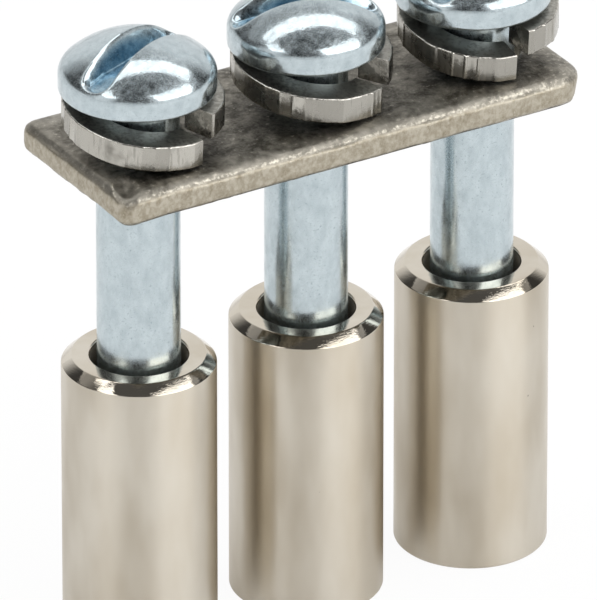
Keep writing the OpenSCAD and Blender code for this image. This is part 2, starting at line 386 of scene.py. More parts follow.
def dull_tin(name, settings):
    """Barrel-plated dull tin on a stamped brass bar.

    The rolled faces are a dark warm grey, mottled and pitted from tumbling. The sheared sides are
    paler and streaked, with brass showing through, and the edges are rubbed bright in small spots,
    with a painted highlight where they face the front and painted glints scattered over all faces.
    """
    material, tree, mm = bare_metal(name)
    # Blotches 1 mm across, grain 0.26 mm across, pits 0.13 mm across, streaks 0.34 mm wide
    blotch = add(tree, "ShaderNodeTexNoise",
                 {"Vector": mm, "Scale": 1 / 1.0, "Detail": 5, "Roughness": 0.6, "Distortion": 0.3})
    grain = add(tree, "ShaderNodeTexNoise",
                {"Vector": mm, "Scale": 1 / 0.26, "Detail": 4, "Roughness": 0.65})
    pit = add(tree, "ShaderNodeTexNoise", {"Vector": mm, "Scale": 1 / 0.13, "Detail": 2})
    upright = add(tree, "ShaderNodeVectorMath", {0: mm, 1: (1, 1, 0.65)}, operation="MULTIPLY")
    streak = add(tree, "ShaderNodeTexNoise",
                 {"Vector": upright, "Scale": 1 / 0.34, "Detail": 5, "Roughness": 0.7})
    side = add(tree, "ShaderNodeAttribute", attribute_name="sheared_side").outputs["Fac"]
    edge = add(tree, "ShaderNodeAttribute", attribute_name="worn_edge").outputs["Fac"]
    rolled = add(tree, "ShaderNodeAttribute", attribute_name="rolled_edge").outputs["Fac"]
    patchy = add(tree, "ShaderNodeMix", {"Factor": 0.22, "A": blotch, "B": pit}, data_type="FLOAT")
    tarnish = add(tree, "ShaderNodeMapRange", {"Value": patchy, "From Min": 0.28, "From Max": 0.56})
    # Tumbling keeps the rolled edges of the top face clean
    ragged = add(tree, "ShaderNodeMath", {0: grain, 1: 2.2, 2: rolled}, operation="MULTIPLY_ADD")
    clean = add(tree, "ShaderNodeMapRange",
                {"Value": ragged, "From Min": 1.2, "From Max": 2.1, "To Min": 1.0, "To Max": 0.4})
    left = add(tree, "ShaderNodeMath", {0: tarnish, 1: clean}, operation="MULTIPLY")
    broken = add(tree, "ShaderNodeMix", {"Factor": 0.5, "A": streak, "B": grain}, data_type="FLOAT")
    golden = add(tree, "ShaderNodeMapRange", {"Value": broken, "From Min": 0.42, "From Max": 0.66})
    face_tone = add(tree, "ShaderNodeMix", {
        FACTOR: left, COLOUR_A: settings.tin, COLOUR_B: settings.tin_dark}, data_type="RGBA")
    side_tone = add(tree, "ShaderNodeMix", {
        FACTOR: golden, COLOUR_A: settings.tin_side, COLOUR_B: settings.tin_gold}, data_type="RGBA")
    base = add(tree, "ShaderNodeMix", {
        FACTOR: side, COLOUR_A: face_tone, COLOUR_B: side_tone}, data_type="RGBA")
    # Bright spots: a few painted glints anywhere, and more where the edges are rubbed, with a painted
    # highlight where they face the front
    speck = add(tree, "ShaderNodeMapRange",
                {"Value": grain, "From Min": 0.6, "From Max": 0.72, "To Max": 0.65})
    finer = add(tree, "ShaderNodeMix", {"Factor": 0.45, "A": grain, "B": pit}, data_type="FLOAT")
    rub_and_highlight_grain = add(tree, "ShaderNodeMath", {0: edge, 1: finer}, operation="MULTIPLY")
    rub_and_highlight = add(tree, "ShaderNodeMapRange",
              {"Value": rub_and_highlight_grain, "From Min": 0.41, "From Max": 0.57, "To Max": 0.95})
    bright = add(tree, "ShaderNodeMath", {0: speck, 1: rub_and_highlight}, operation="MAXIMUM")
    colour = add(tree, "ShaderNodeMix", {
        FACTOR: bright, COLOUR_A: base, COLOUR_B: settings.tin_rubbed_and_glint}, data_type="RGBA")
    rough = add(tree, "ShaderNodeMapRange", {"Value": bright, "To Min": 0.44, "To Max": 0.35})
    lines = add(tree, "ShaderNodeMath", {0: streak, 1: side}, operation="MULTIPLY")
    drawn = add(tree, "ShaderNodeBump", {"Height": lines, "Distance": 0.02 * MM})
    low = add(tree, "ShaderNodeBump", {"Height": grain, "Distance": 0.03 * MM, "Normal": drawn})
    high = add(tree, "ShaderNodeBump", {"Height": pit, "Distance": 0.006 * MM, "Normal": low})
    surface(tree, {"Base Color": colour, "Roughness": rough, "Normal": high})
    return material


def mark(mesh, name, values):
    """Notes a value for each point of a mesh under a name that materials can read."""
    values = np.asarray(values, dtype=np.float32)
    mesh.attributes.new(name, "FLOAT", "POINT").data.foreach_set("value", values)


def mesh_piece(name, points, faces, materials, kinds, sharp, marks=None):
    """A piece of points in millimetres. kinds gives each face's place in materials."""
    mesh = bpy.data.meshes.new(name)
    mesh.from_pydata([tuple(p) for p in np.asarray(points) * MM], [], faces)
    for material in materials:
        mesh.materials.append(material)
    mesh.polygons.foreach_set("material_index", np.asarray(kinds, dtype=np.int32))
    for label, values in (marks or {}).items():
        mark(mesh, label, values)
    shape = bmesh.new()
    shape.from_mesh(mesh)
    bmesh.ops.remove_doubles(shape, verts=shape.verts, dist=2e-4 * MM)
    bmesh.ops.recalc_face_normals(shape, faces=shape.faces)
    shape.to_mesh(mesh)
    shape.free()
    mesh.shade_smooth()
    mesh.set_sharp_from_angle(angle=math.radians(sharp))
    item = bpy.data.objects.new(name, mesh)
    bpy.context.scene.collection.objects.link(item)
    return item


def stand_for(item, body, node):
    """Puts a finished piece on its body, in the place of its solid."""
    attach(item, body)
    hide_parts(node)


def baked(item):
    """Turns a piece with a live modifier into a plain mesh and removes the modifier."""
    graph = bpy.context.evaluated_depsgraph_get()
    graph.update()
    mesh = bpy.data.meshes.new_from_object(item.evaluated_get(graph))
    if not mesh.polygons:
        raise RuntimeError(f"{item.name} came out empty")
    item.modifiers.clear()
    item.data = mesh
    mesh.name = item.name
    return item


def arc(centre, radius, start, end, steps):
    """Points of a half section along an arc, with angles in degrees."""
    turns = np.radians(np.linspace(start, end, steps))
    return [(centre[0] + radius * math.cos(t), centre[1] + radius * math.sin(t)) for t in turns]


def rounded(corners, radii, steps=4):
    """A closed half section whose corners are rounded by the given radii."""
    points = []
    count = len(corners)
    for k, (corner, radius) in enumerate(zip(corners, radii)):
        here = np.array(corner, dtype=float)
        before = np.array(corners[k - 1], dtype=float) - here
        after = np.array(corners[(k + 1) % count], dtype=float) - here
        start = here + before / np.linalg.norm(before) * radius
        end = here + after / np.linalg.norm(after) * radius
        for t in np.linspace(0, 1, steps):
            points.append(tuple((1 - t) ** 2 * start + 2 * t * (1 - t) * here + t * t * end))
    return points


class JUMPER_OT_bar(bpy.types.Operator):
    """Builds the tin-plated link bar with its worn edges"""
    bl_idname = "jumper.bar"
    bl_label = "Link Bar"

    def execute(self, context):
        s = context.scene.jumper_bar
        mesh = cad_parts["link_bar"].data.copy()
        mesh.materials.clear()
        mesh.transform(Matrix.Scale(1 / MM, 4))
        shape = bmesh.new()
        shape.from_mesh(mesh)
        bmesh.ops.remove_doubles(shape, verts=shape.verts, dist=1e-3)
        shape.to_mesh(mesh)
        shape.free()
        bar = bpy.data.objects.new("plated_link_bar", mesh)
        context.scene.collection.objects.link(bar)
        remesh = bar.modifiers.new("Fine Mesh", "REMESH")
        remesh.mode = "VOXEL"
        remesh.voxel_size = s.grain / MM
        smooth = bar.modifiers.new("Soften", "SMOOTH")
        smooth.factor = 0.5
        smooth.iterations = 3
        baked(bar)
        self.wear(bar.data, s)
        bar.data.transform(Matrix.Scale(MM, 4))
        bar.data.materials.append(dull_tin("Barrel-plated tin", s))
        bar.data.shade_smooth()
        stand_for(bar, "bar", "link_bar")
        return {"FINISHED"}

    def wear(self, mesh, s):
        """Rolls the top edges, knocks them in and notes how worn each point is and where it gets a
        painted highlight.
        """
        co = np.empty(len(mesh.vertices) * 3)
        mesh.vertices.foreach_get("co", co)
        co = co.reshape(-1, 3)
        normal = np.array([v.normal for v in mesh.vertices])
        low, high = (np.array(corner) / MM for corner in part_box("link_bar"))
        slow = np.array([noise.noise(p * 0.7) for p in map(Vector, co)])
        quick = np.array([noise.noise(p * 2.3) for p in map(Vector, co)])
        wave = np.array([noise.noise(p * 0.55 + Vector((7, 3, 1))) for p in map(Vector, co)])
        # Depth in plan behind the outline
        flat = co[:, :2] - (low + high)[:2] / 2
        corner = np.where(flat[:, 0] < 0, s.cut_corner_r, s.corner_r) / MM
        over = np.abs(flat) - (high - low)[:2] / 2 + corner[:, None]
        inside = corner - np.hypot(*np.clip(over, 0, None).T) - np.clip(over.max(axis=1), None, 0)
        # Edges all round are knocked in, those of the holes only a little
        edge = np.clip((0.985 - np.abs(normal).max(axis=1)) / 0.2, 0, 1)
        edge *= np.clip(np.abs(normal[:, 2]) / 0.35, 0, 1)
        from_axis = np.min([np.hypot(co[:, 0] - POLE_X[p], co[:, 1]) for p in POLES], axis=0)
        round_hole = 2.6
        edge[from_axis < round_hole] *= 0.3
        inward = s.wave_depth / MM * (0.5 + 0.5 * wave)
        inward += s.dent_depth / MM * edge * np.clip(0.35 + 0.65 * (slow + 0.6 * quick), 0, 1)
        worn = co - normal * inward[:, None]
        # The top face falls towards its edges, from further in at the right end
        near_end = np.clip((co[:, 0] - high[0]) / 4 + 1, 0, 1)
        reach = s.roll_width / MM * (1 + 0.45 * slow + 0.5 * near_end)
        rolled = np.clip(1 - inside / reach, 0, 1)
        upper = np.clip((co[:, 2] - low[2] - 0.45) / 0.8, 0, 1)
        worn[:, 2] -= upper * s.roll_depth / MM * rolled ** 1.6
        # The front left corner has been struck: it is bent down and blunt, with a hollow beside it
        away = co[:, :2] - low[:2]
        bent = np.clip(1 - np.hypot(*away.T) / (s.strike_reach / MM), 0, 1)
        worn[:, 2] -= s.strike_depth / MM * bent ** 1.5
        worn[:, :2] += s.strike_depth / MM * np.clip(bent - 0.3, 0, 1)[:, None]
        middle, half = (0.62, 0.95), (0.5, 0.85)
        behind = (away[:, 1] - middle[1]) / half[1]
        across = (away[:, 0] - middle[0] - 0.25 * behind) / half[0]
        hollow = np.hypot(across, behind)
        worn[:, 2] -= upper * s.hollow_depth / MM * np.clip(1.1 - hollow, 0, 1)
        # The shear has drawn the foot of the right end in
        shear_reach, shear_height = 0.9, 1.1
        end = np.clip((co[:, 0] - high[0]) / shear_reach + 1, 0, 1)
        foot = np.clip(1 - (co[:, 2] - low[2]) / shear_height, 0, 1)
        worn[:, 0] -= s.shear_draw / MM * end * foot
        mesh.vertices.foreach_set("co", worn.ravel())
        # Rubbed bright wear on the line where the roll starts, the hollow's ridge, the edges and the
        # roll, more of it towards the right end, with a painted highlight where these face the front
        line = np.exp(-((inside - 0.95 * reach) / 0.16) ** 2) * upper
        ridge = np.exp(-((hollow - 1.1) / 0.16) ** 2) * upper
        ridge *= np.clip(0.55 + 0.5 * behind - 0.25 * across + 0.5 * quick, 0, 1)
        # Painted highlight: points whose normal faces the front get brighter marks
        ahead = np.clip(0.5 - 0.6 * normal[:, 1], 0, 1)
        right = np.clip((co[:, 0] - high[0]) / 9 + 1, 0, 1)
        strip = (0.68 + 0.36 * right) * np.clip(1.7 * rolled, 0, 1) ** 0.5 * upper
        flecks = np.max([0.8 * line * np.clip(0.7 + quick, 0, 1), strip], axis=0)
        bright = [edge * (0.62 + 0.36 * ahead), flecks * (0.5 + 0.5 * ahead), 1.1 * ridge]
        mark(mesh, "worn_edge", np.max(bright, axis=0))
        mark(mesh, "rolled_edge", np.maximum(rolled, np.clip(2 * bent, 0, 1)) * upper)
        mark(mesh, "sheared_side", np.clip((0.75 - np.abs(normal[:, 2])) / 0.5, 0, 1))
        mesh.update()


class JUMPER_OT_screws(bpy.types.Operator):
    """Builds the three slotted pan-head screws with their rolled threads"""
    bl_idname = "jumper.screws"
    bl_label = "Screws"

    # Faces that meet at more than so many degrees keep a sharp edge
    sharp = 30

    def execute(self, context):
        s = context.scene.jumper_screw
        finishes = [
            zinc_plating("Bright zinc on the head", s, roughness=0.06, haze=0.36, stretch=1,
                         peel=1.0, mottle=0.45, specks=0.6),
            zinc_plating("Satin zinc on the shank", s, roughness=0.14, haze=0.2, stretch=1.8,
                         peel=0.35, mottle=0.42, specks=0.75),
        ]
        points, faces, kinds, depth = self.blank(s)
        for pole in POLES:
            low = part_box(f"screw_{pole}")[0]
            seat = (low.z + s.length) / MM
            turn = math.radians(SLOT_TURN[pole])
            c, q = math.cos(turn), math.sin(turn)
            placed = points @ np.array([[c, q, 0], [-q, c, 0], [0, 0, 1]])
            placed = placed + (POLE_X[pole], 0, seat)
            screw = mesh_piece(f"slotted_screw_{pole}", placed, faces, finishes, kinds, self.sharp,
                               {"slot_depth": depth})
            start = low.z / MM + 0.5 * s.thread_pitch / MM
            self.add_thread(screw, s, (POLE_X[pole], 0, start), finishes[1])
            stand_for(screw, f"screw_{pole}", f"screw_{pole}")
        return {"FINISHED"}

    def blank(self, s):
        """Points, faces, finishes and slot depth of a screw with its seat on z = 0, not threaded."""
        radius, height, rim = s.head_d / 2 / MM, s.head_h / MM, s.rim_h / MM
        edge_r, foot_r, neck_r = s.edge_r / MM, s.foot_r / MM, s.neck_r / MM
        rise = height - rim
        ball = (radius ** 2 + rise ** 2) / (2 * rise)
        ball_z = height - ball
        edge_x = radius - edge_r
        edge_z = ball_z + math.sqrt((ball - edge_r) ** 2 - edge_x ** 2)
        meet = ball * math.cos(math.atan2(edge_z - ball_z, edge_x))
        # The slotted top is a grid over this disc, and rings carry on from its outline
        disc = radius - 0.05

        half, floor = s.slot_w / 2 / MM, height - s.slot_depth / MM
        lip, bed_r, slot_reach = s.lip_r / MM, s.bed_r / MM, s.slot_reach / MM
        dip_start, dip_length = 1.6, 1.4
        # Depth at which the slot's bluer passivation and painted shade start, and the depth over which
        # they come in full
        blue_start, blue_reach = 0.12, 0.5
        dome_steps, slot_steps, row_steps = 44, 19, 121
        spread = disc * np.cos(np.linspace(0, math.pi / 2, dome_steps))
        outer = [v for v in spread if v > half + lip + 0.05]
        side = outer + list(np.linspace(half + lip, 0, slot_steps))
        columns = [-v for v in side] + side[-2::-1]
        along = np.sin(np.linspace(-math.pi / 2, math.pi / 2, row_steps))

        def smooth(share):
            share = np.clip(share, 0, 1)
            return share * share * (3 - 2 * share)

        def skin(u, v):
            """Height of the head's dome and shoulder without the slot."""
            far = np.hypot(u, v)
            shoulder = edge_z + np.sqrt(edge_r ** 2 - np.clip(far - edge_x, 0, None) ** 2)
            return np.where(far < meet, ball_z + np.sqrt(ball ** 2 - far ** 2), shoulder)

        def sunk(u, v):
            """Depth of the slot: pressed walls, round ends and a bed that dips towards them."""
            past = np.clip(np.abs(u) - slot_reach + half, 0, None)
            share = smooth((half - np.hypot(past, v) + lip) / (lip + bed_r))
            bed = floor - s.slot_dip / MM * smooth((np.abs(u) - dip_start) / dip_length)
            return share * np.clip(skin(u, v) - bed, 0, None)

        points = []
        depth = []
        for v in columns:
            u = math.sqrt(max(disc ** 2 - v ** 2, 0)) * along
            down = sunk(u, v)
            depth += list(np.clip((down - blue_start) / blue_reach, 0, 1))
            points += [tuple(p) for p in np.stack([u, np.full_like(u, v), skin(u, v) - down], axis=1)]
        faces = []
        for k in range(len(columns) - 1):
            for a in range(k * row_steps, (k + 1) * row_steps - 1):
                faces.append((a, a + row_steps, a + row_steps + 1, a + 1))
        kinds = [0] * len(faces)
        first = [k * row_steps for k in range(len(columns))]
        last = [(k + 1) * row_steps - 1 for k in reversed(range(1, len(columns) - 1))]
        ring = []
        for i in first + last:
            if not ring or math.dist(points[i][:2], points[ring[-1]][:2]) > 1e-4:
                ring.append(i)
        angles = np.array([math.atan2(points[i][1], points[i][0]) for i in ring])

        shank, length, thread = s.shank_d / 2 / MM, s.length / MM, s.thread_len / MM
        core = shank - THREAD_DEPTH * s.thread_pitch / MM
        tip, run_out = 0.16, 0.55
        cut_turn = math.degrees(math.acos((disc - edge_x) / edge_r))
        section = arc((edge_x, edge_z), edge_r, cut_turn, 0, 5)[1:]
        section += arc((radius - foot_r, foot_r), foot_r, 0, -90, 6)
        section += arc((shank + neck_r, -neck_r), neck_r, 90, 180, 5)
        section += [(shank, z) for z in np.linspace(-0.5, thread - length, 7)]
        section += [(core, thread - length - run_out), (core, tip - length), (core - tip, -length)]
        for r, z in section:
            start = len(points)
            points += [(r * math.cos(t), r * math.sin(t), z) for t in angles]
            fresh = list(range(start, len(points)))
            for k in range(len(ring)):
                n = (k + 1) % len(ring)
                faces.append((ring[k], ring[n], fresh[n], fresh[k]))
                kinds.append(1 if z < -0.01 else 0)
            ring = fresh
        points.append((0, 0, -length))
        for k in range(len(ring)):
            faces.append((ring[k], ring[(k + 1) % len(ring)], len(points) - 1))
            kinds.append(1)
        depth += [0] * (len(points) - len(depth))
        return np.array(points), faces, kinds, depth

    def add_thread(self, screw, s, tip, finish):
        """Sweeps the thread's ridge up a helix and joins it to the screw."""
        holder = bpy.data.objects.new("thread", bpy.data.meshes.new("thread"))
        bpy.context.scene.collection.objects.link(holder)
        pitch = s.thread_pitch
        run_nodes(holder, thread_tree(), {
            "Core Radius": s.shank_d / 2 - THREAD_DEPTH * pitch,
            "Length": s.thread_len - pitch,
            "Turns": s.thread_len / pitch - 1,
            "Base": THREAD_BASE * pitch,
            "Crest": THREAD_CREST * pitch,
            "Height": THREAD_DEPTH * pitch,
            "Place": Vector(tip) * MM,
            "Finish": finish,
        })
        joined = bmesh.new()
        joined.from_mesh(screw.data)
        before = len(joined.faces)
        joined.from_mesh(holder.data)
        joined.faces.ensure_lookup_table()
        for face in joined.faces[before:]:
            face.material_index = 1
            face.smooth = True
        joined.to_mesh(screw.data)
        joined.free()
        screw.data.set_sharp_from_angle(angle=math.radians(self.sharp))
        bpy.data.objects.remove(holder)


def run_nodes(item, tree, values):
    """Runs a Geometry Nodes tree on a piece with its inputs set, and keeps the plain mesh."""
    live = item.modifiers.new(tree.name, "NODES")
    live.node_group = tree
    sockets = {x.name: x.identifier for x in tree.interface.items_tree if x.in_out == "INPUT"}
    for key, value in values.items():
        live[sockets[key]] = value
    return baked(item)


def new_tree(name, inputs):
    """An empty Geometry Nodes tree with named inputs and one geometry output."""
    tree = bpy.data.node_groups.new(name, "GeometryNodeTree")
    for label, kind in inputs.items():
        tree.interface.new_socket(label, in_out="INPUT", socket_type=f"NodeSocket{kind}")
    tree.interface.new_socket("Geometry", in_out="OUTPUT", socket_type="NodeSocketGeometry")
    return tree, add(tree, "NodeGroupInput").outputs


def finish_tree(tree, shape, finish):
    """Ends a Geometry Nodes tree with a real, coated mesh."""
    real = add(tree, "GeometryNodeRealizeInstances", {"Geometry": shape})
    coated = add(tree, "GeometryNodeSetMaterial", {"Geometry": real, "Material": finish})
    add(tree, "NodeGroupOutput", {"Geometry": coated})
    return tree


def thread_tree():
    """Nodes that sweep a thread's ridge up a helix and fade it out at both ends."""
    name = "Thread Ridge"
    if name in bpy.data.node_groups:
        return bpy.data.node_groups[name]
    tree, given = new_tree(name, {
        "Core Radius": "Float", "Length": "Float", "Turns": "Float", "Base": "Float",
        "Crest": "Float", "Height": "Float", "Place": "Vector", "Finish": "Material"})
    helix = add(tree, "GeometryNodeCurveSpiral", {
        "Resolution": 48, "Rotations": given["Turns"], "Start Radius": given["Core Radius"],
        "End Radius": given["Core Radius"], "Height": given["Length"], "Reverse": True})
    upright = add(tree, "GeometryNodeSetCurveNormal", {"Curve": helix}, mode="Z_UP")
    part = add(tree, "GeometryNodeSplineParameter").outputs["Factor"]
    left = add(tree, "ShaderNodeMath", {0: 1.0, 1: part}, operation="SUBTRACT")
    nearer = add(tree, "ShaderNodeMath", {0: part, 1: left}, operation="MINIMUM")
    fade = add(tree, "ShaderNodeMapRange", {"Value": nearer, "From Max": 0.045, "To Min": 0.02})
    sized = add(tree, "GeometryNodeSetCurveRadius", {"Curve": upright, "Radius": fade})
    ridge = add(tree, "GeometryNodeCurvePrimitiveQuadrilateral", {
        "Bottom Width": given["Base"], "Top Width": given["Crest"], "Offset": 0.0,
        "Height": given["Height"]}, mode="TRAPEZOID")
    # A little under half of the ridge's height, so that its foot sinks into the core
    sink = add(tree, "ShaderNodeMath", {0: given["Height"], 1: 0.42}, operation="MULTIPLY")
    lift = add(tree, "ShaderNodeCombineXYZ", {"Y": sink})
    stood = add(tree, "GeometryNodeTransform", {"Geometry": ridge, "Translation": lift})
    turned = add(tree, "GeometryNodeTransform", {
        "Geometry": stood, "Rotation": (0, 0, math.radians(-90))})
    swept = add(tree, "GeometryNodeCurveToMesh", {
        "Curve": sized, "Profile Curve": turned, "Fill Caps": True})
    placed = add(tree, "GeometryNodeTransform", {"Geometry": swept, "Translation": given["Place"]})
    return finish_tree(tree, placed, given["Finish"])


def washer_tree():
    """Nodes that coil a rounded rectangular wire into a split washer with flats and ribs on its rim."""
    tree, given = new_tree("Split Washer", {
        "Radius": "Float", "Wire Width": "Float", "Thickness": "Float", "Wire Radius": "Float",
        "Rise": "Float", "Turn": "Float", "Facets": "Int", "Flat Depth": "Float",
        "Rib Height": "Float", "Lean": "Vector", "Lift": "Float", "Heading": "Vector",
        "Place": "Vector", "Seed": "Int", "Finish": "Material"})
    turns = add(tree, "ShaderNodeMath", {0: given["Turn"], 1: 2 * math.pi}, operation="DIVIDE")
    helix = add(tree, "GeometryNodeCurveSpiral", {
        "Resolution": 420, "Rotations": turns, "Start Radius": given["Radius"],
        "End Radius": given["Radius"], "Height": given["Rise"], "Reverse": False})
    # Place along the coil counted in flats, which are not all alike
    factor = add(tree, "GeometryNodeSplineParameter").outputs["Factor"]
    turned = add(tree, "ShaderNodeMath", {0: factor, 1: given["Turn"]}, operation="MULTIPLY")
    spaced = add(tree, "ShaderNodeMath", {0: turned, 1: given["Facets"]}, operation="MULTIPLY")
    even = add(tree, "ShaderNodeMath", {0: spaced, 1: 2 * math.pi}, operation="DIVIDE")
    slower = add(tree, "ShaderNodeMath", {0: even, 1: 0.45}, operation="MULTIPLY")
    shifted = add(tree, "ShaderNodeMath", {0: slower, 1: given["Seed"]}, operation="ADD")
    uneven = add(tree, "ShaderNodeTexNoise", {"W": shifted, "Scale": 1.0, "Detail": 0.0},
                 noise_dimensions="1D")
    wider = add(tree, "ShaderNodeMath", {0: uneven, 1: 1.6}, operation="MULTIPLY")
    count = add(tree, "ShaderNodeMath", {0: even, 1: wider}, operation="ADD")
    counted = add(tree, "GeometryNodeStoreNamedAttribute", {
        "Geometry": helix, "Name": "flat_count", "Value": count}, data_type="FLOAT", domain="POINT")
    # Painted reflection: each flat gets its own random darkness
    flat_no = add(tree, "ShaderNodeMath", {0: count}, operation="FLOOR")
    tone = add(tree, "FunctionNodeRandomValue", {
        LEAST: 0.0, MOST: 1.0, "ID": flat_no, "Seed": given["Seed"]}, data_type="FLOAT")
    reflection_toned = add(tree, "GeometryNodeStoreNamedAttribute", {
        "Geometry": counted, "Name": "flat_tone", "Value": tone}, data_type="FLOAT", domain="POINT")
    upright = add(tree, "GeometryNodeSetCurveNormal", {"Curve": reflection_toned}, mode="Z_UP")
    # The cut ends are worn round
    left = add(tree, "ShaderNodeMath", {0: 1.0, 1: factor}, operation="SUBTRACT")
    to_end = add(tree, "ShaderNodeMath", {0: factor, 1: left}, operation="MINIMUM")
    ends = add(tree, "ShaderNodeMapRange", {"Value": to_end, "From Max": 0.014, "To Min": 0.84},
               interpolation_type="SMOOTHERSTEP")
    blunt = add(tree, "GeometryNodeSetCurveRadius", {"Curve": upright, "Radius": ends})
    wire = add(tree, "GeometryNodeCurvePrimitiveQuadrilateral", {
        "Width": given["Wire Width"], "Height": given["Thickness"]}, mode="RECTANGLE")
    soft = add(tree, "GeometryNodeFilletCurve", {
        "Curve": wire, "Radius": given["Wire Radius"], "Count": 4}, mode="POLY")
    coil = add(tree, "GeometryNodeCurveToMesh", {
        "Curve": blunt, "Profile Curve": soft, "Fill Caps": True})
    # Flats sink between the ribs. Only the rim takes them
    number = add(tree, "GeometryNodeInputNamedAttribute", {"Name": "flat_count"}, data_type="FLOAT")
    rib_no = add(tree, "ShaderNodeMath", {0: number}, operation="ROUND")
    beside = add(tree, "ShaderNodeMath", {0: number, 1: rib_no}, operation="SUBTRACT")
    off_rib = add(tree, "ShaderNodeMath", {0: beside}, operation="ABSOLUTE")
    twice = add(tree, "ShaderNodeMath", {0: off_rib, 1: 2.0}, operation="MULTIPLY")
    to_middle = add(tree, "ShaderNodeMath", {0: 1.0, 1: twice}, operation="SUBTRACT")
    curved = add(tree, "ShaderNodeMath", {0: to_middle, 1: 2.0}, operation="POWER")
    hollow = add(tree, "ShaderNodeMath", {0: 1.0, 1: curved}, operation="SUBTRACT")
    clear = add(tree, "ShaderNodeMapRange", {"Value": off_rib, "From Min": 0.05, "From Max": 0.13},
                interpolation_type="SMOOTHSTEP")
    strength = add(tree, "FunctionNodeRandomValue", {
        LEAST: 0.25, MOST: 1.0, "ID": rib_no, "Seed": given["Seed"]}, data_type="FLOAT")
    rib = add(tree, "ShaderNodeMath", {0: given["Rib Height"], 1: strength}, operation="MULTIPLY")
    below = add(tree, "ShaderNodeMath", {0: rib, 1: clear}, operation="MULTIPLY")
    flat = add(tree, "ShaderNodeMath", {0: given["Flat Depth"], 1: hollow}, operation="MULTIPLY")
    sunk = add(tree, "ShaderNodeMath", {0: flat, 1: below}, operation="ADD")
    place = add(tree, "GeometryNodeInputPosition")
    level = add(tree, "ShaderNodeVectorMath", {0: place, 1: (1, 1, 0)}, operation="MULTIPLY")
    far = add(tree, "ShaderNodeVectorMath", {0: level}, operation="LENGTH")
    out = add(tree, "ShaderNodeMath", {0: far, 1: given["Radius"]}, operation="SUBTRACT")
    share = add(tree, "ShaderNodeMath", {0: out, 1: given["Wire Width"]}, operation="DIVIDE")
    outer = add(tree, "ShaderNodeMapRange", {"Value": share, "From Min": 0.3, "From Max": 0.45})
    taken = add(tree, "ShaderNodeMath", {0: sunk, 1: outer}, operation="MULTIPLY")
    inward = add(tree, "ShaderNodeMath", {0: taken, 1: -1.0}, operation="MULTIPLY")
    ratio = add(tree, "ShaderNodeMath", {0: inward, 1: far}, operation="DIVIDE")
    press = add(tree, "ShaderNodeVectorMath", {0: level, "Scale": ratio}, operation="SCALE")
    pressed = add(tree, "GeometryNodeSetPosition", {"Geometry": coil, "Offset": press})
    # The loose washer leans on its low end
    reach = add(tree, "ShaderNodeVectorMath", {0: place, 1: given["Lean"]}, operation="DOT_PRODUCT")
    up = add(tree, "ShaderNodeMath", {0: given["Lift"], 1: reach}, operation="SUBTRACT")
    offset = add(tree, "ShaderNodeCombineXYZ", {"Z": up})
    leant = add(tree, "GeometryNodeSetPosition", {"Geometry": pressed, "Offset": offset})
    placed = add(tree, "GeometryNodeTransform", {
        "Geometry": leant, "Translation": given["Place"], "Rotation": given["Heading"]})
    return finish_tree(tree, placed, given["Finish"])


class JUMPER_OT_washers(bpy.types.Operator):
    """Builds the three split spring washers"""
    bl_idname = "jumper.washers"
    bl_label = "Spring Washers"

    def execute(self, context):
        s = context.scene.jumper_washer
        finish = spring_steel("Oiled spring steel", s)
        tree = washer_tree()
        slope = math.tan(s.tilt)
        slip = s.slip * Vector((math.cos(s.slip_turn), math.sin(s.slip_turn), 0))
        for pole in POLES:
            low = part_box(f"spring_washer_{pole}")[0]
            item = bpy.data.objects.new(f"split_washer_{pole}", bpy.data.meshes.new("washer"))
            context.scene.collection.objects.link(item)
            run_nodes(item, tree, {
                "Radius": (s.outer_d + s.hole_d) / 4,
                "Wire Width": (s.outer_d - s.hole_d) / 2,
                "Thickness": s.thickness,
                "Wire Radius": s.wire_r,
                "Rise": s.rise,
                "Turn": 2 * math.pi - s.split,
                "Facets": s.facets,
                # Half as deep as true flats would be
                "Flat Depth": s.outer_d / 4 * (1 - math.cos(math.pi / s.facets)),
                "Rib Height": s.rib * WASHER_RIB[pole],
                "Lean": slope * Vector((math.cos(s.split / 2), math.sin(s.split / 2), 0)),
                "Lift": slope * s.outer_d / 2 + s.thickness / 2,
                "Heading": (0, 0, math.radians(WASHER_TURN[pole])),
                "Place": Vector((POLE_X[pole] * MM, 0, low.z)) + slip,
                "Seed": 11 + pole,
                "Finish": finish,
            })
            item.data.shade_smooth()
            item.data.set_sharp_from_angle(angle=math.radians(24))
            level = np.abs(np.array([v.normal.z for v in item.data.vertices]))
            # Flat faces of the wire, which get painted shade, and its edges, which are rubbed bright with
            # a painted highlight
            mark(item.data, "wire_face", np.clip((level - 0.75) / 0.2, 0, 1))
            mark(item.data, "worn_edge", np.clip(1.4 - np.abs(level - 0.65) / 0.3, 0, 1))
            stand_for(item, "bar", f"spring_washer_{pole}")
        return {"FINISHED"}


